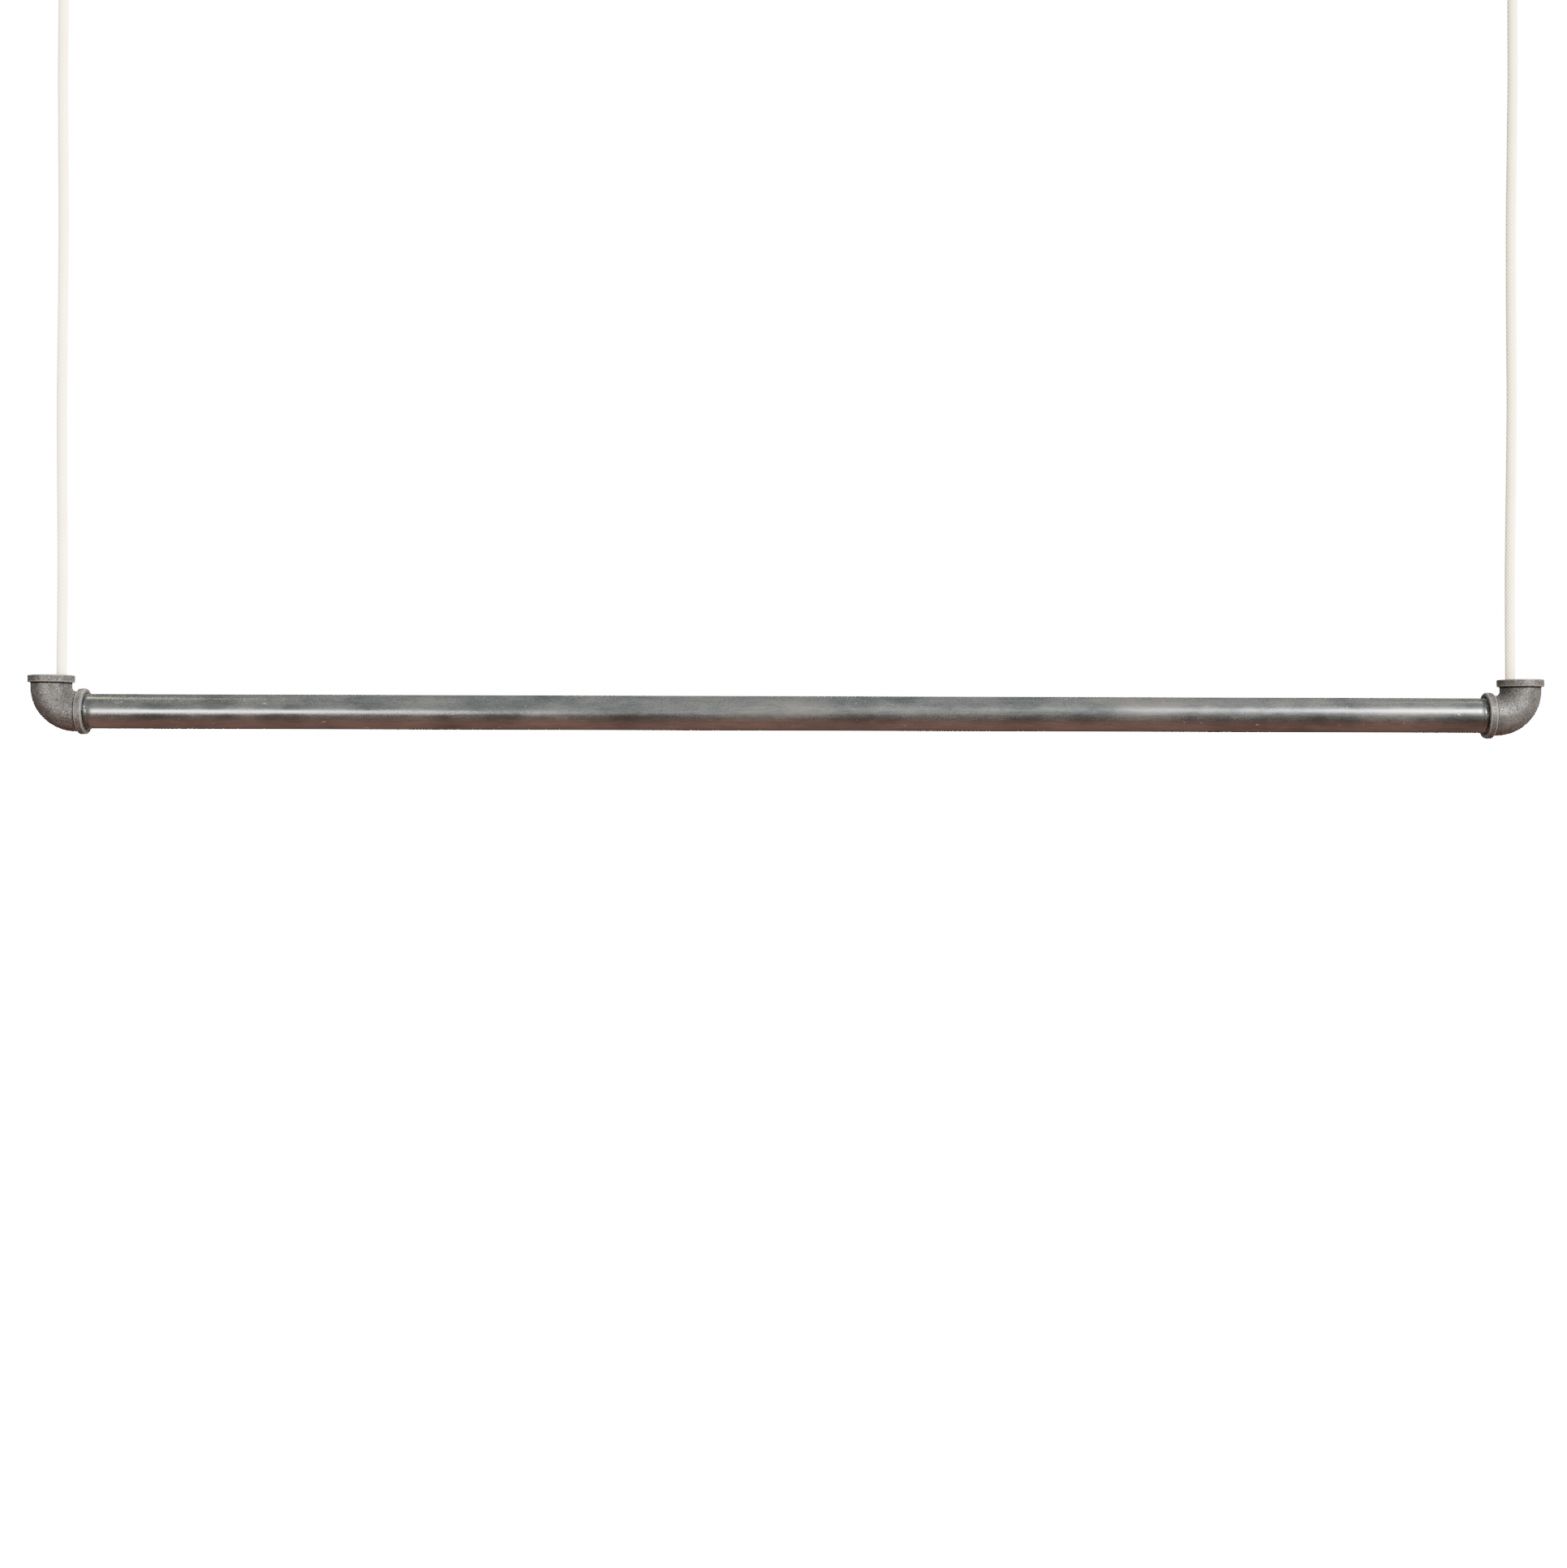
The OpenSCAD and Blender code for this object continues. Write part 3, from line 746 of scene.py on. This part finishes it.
def blackened_steel():
    """Steel blackened in hot salts and oiled: dark, satin, browner and duller in patches, with
    paler flecks."""
    made, tree, shader, place = material("blackened_steel")
    cloud = noise(tree, place, 5 * mm, 4, 0.6)
    grain = noise(tree, place, 0.5 * mm, 2, 0.5)
    base = ramp(tree, cloud, [(0.3, "#4a4b4d"), (0.7, "#5c5853")])
    tree.links.new(joined(tree, "MIX", span(tree, grain, 0.64, 0.76, 0, 0.5), base, linear("#8d8b87")),
                   shader.inputs["Base Color"])
    tree.links.new(span(tree, cloud, 0.3, 0.7, 0.34, 0.5), shader.inputs["Roughness"])
    bump = add(tree, "ShaderNodeBump", Strength=0.3, Distance=0.05 * mm, Height=grain)
    tree.links.new(bump.outputs[0], shader.inputs["Normal"])
    shader.inputs["Metallic"].default_value = 1.0
    return made


# ---------------------------------------------------------------- assembly
def finish_piece(piece, finish, body=None, nodes=()):
    """Gives a piece its material, hides the CAD nodes it stands for, and, given a body, parents the piece
    to that body.
    """
    piece.data.materials.clear()
    piece.data.materials.append(finish)
    if nodes:
        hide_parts(*nodes)
    if body:
        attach(piece, body)


camera()
steel, iron, cotton = mill_steel(), sand_cast_iron(), braided_cotton()
twine, black = waxed_twine(), blackened_steel()

finish_piece(pipe_piece(), steel, "rail", ["pipe"])
finish_piece(inner_rope_piece(), cotton, "rail", ["inner_rope"])
for hand, side, seed in (("left", -1, 20), ("right", 1, 30)):
    elbow = elbow_piece(hand + "_cast_elbow", side, seed)
    finish_piece(elbow, iron, "rail", [hand + "_elbow"])
    eye = eye_piece(hand + "_screw_eye", side)
    finish_piece(eye, black, "ceiling", [hand + "_eye"])
    cup = rosette_piece(hand + "_pressed_rosette", side)
    finish_piece(cup, black, "ceiling", [hand + "_rosette"])

    end = knotted_end_piece(hand + "_knotted_end", side, seed + 3)
    finish_piece(end, cotton, hand + "_hitch",
                 [hand + "_loop", hand + "_knot", hand + "_tail"])
    wrap = whipping_piece(hand + "_twine_whipping", side)
    finish_piece(wrap, twine, hand + "_hitch", [hand + "_whipping"])
    hang, line = hanging_rope_piece(hand + "_hanging_rope", side, seed + 4)
    finish_piece(hang, cotton, nodes=[hand + "_rope"])
    if hand == "left":
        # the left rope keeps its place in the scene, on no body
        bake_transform(hang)
    else:
        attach(hang, "right_hanger")


# ---------------------------------------------------------------- floor and light
def soft_light(name, place, aim, size, watts, spread):
    """A rectangular light at a place, aimed at another; spread is its beam's angle in degrees."""
    data = bpy.data.lights.new(name, "AREA")
    data.shape = "RECTANGLE"
    data.size, data.size_y = size
    data.energy = watts
    data.spread = math.radians(spread)
    made = bpy.data.objects.new(name, data)
    bpy.context.scene.collection.objects.link(made)
    made.location = place
    made.rotation_euler = (Vector(aim) - Vector(place)).to_track_quat("-Z", "Y").to_euler()


def studio():
    """A pale floor, a surround, and a soft light each side of the viewer.

    The surround is plain white to the eye. To a glossy surface it is a dim room, warm underfoot,
    and it lights everything else more strongly from the right than from the left.
    """
    floor_z, floor_r, white_level = -1.75, 30, 16.0
    white = linear("#ffffff")
    bpy.ops.mesh.primitive_circle_add(vertices=64, radius=floor_r, fill_type="NGON",
                                      location=(0, 0, floor_z))
    floor = bpy.context.object
    floor.name = "studio_floor"
    made, _, shader, _ = material("pale_floor")
    shader.inputs["Base Color"].default_value = linear("#f2f2f1")
    shader.inputs["Roughness"].default_value = 0.9
    shader.inputs["Emission Color"].default_value = white
    shader.inputs["Emission Strength"].default_value = white_level
    floor.data.materials.append(made)
    floor.visible_glossy = False
    floor.visible_diffuse = False

    world = bpy.data.worlds.new("surround")
    bpy.context.scene.world = world
    world.use_nodes = True
    tree = world.node_tree
    tree.nodes.clear()
    toward = add(tree, "ShaderNodeTexCoord").outputs["Generated"]
    split = add(tree, "ShaderNodeSeparateXYZ", Vector=toward).outputs
    room = ramp(tree, span(tree, split["Z"], -1, 1, 0, 1),
                [(0.0, "#b68d82"), (0.25, "#7d6960"), (0.42, "#6b645e"), (0.5, "#a0a09c"),
                 (0.62, "#989b99"), (0.85, "#888b8a"), (1.0, "#8f9292")])
    ray = add(tree, "ShaderNodeLightPath").outputs
    mirrored = add(tree, "ShaderNodeBackground", Color=room, Strength=1.0)
    across = span(tree, split["X"], -0.5, 0.05, 0.25, 11.0)
    soft = add(tree, "ShaderNodeBackground", Color=white, Strength=across)
    seen = add(tree, "ShaderNodeBackground", Color=white, Strength=white_level)
    rest = add(tree, "ShaderNodeMixShader",
               _0=ray["Is Glossy Ray"], _1=soft.outputs[0], _2=mirrored.outputs[0])
    every = add(tree, "ShaderNodeMixShader",
                _0=ray["Is Camera Ray"], _1=rest.outputs[0], _2=seen.outputs[0])
    add(tree, "ShaderNodeOutputWorld", Surface=every.outputs[0])

    soft_light("left_softbox", (-1.16, -2.3, -0.7), (-0.5, 0, axis_z), (0.62, 0.5), 2.0, 60)
    soft_light("right_softbox", (1.6, -2.2, 0.5), (0.3, 0, axis_z), (0.36, 0.3), 5.2, 50)


studio()
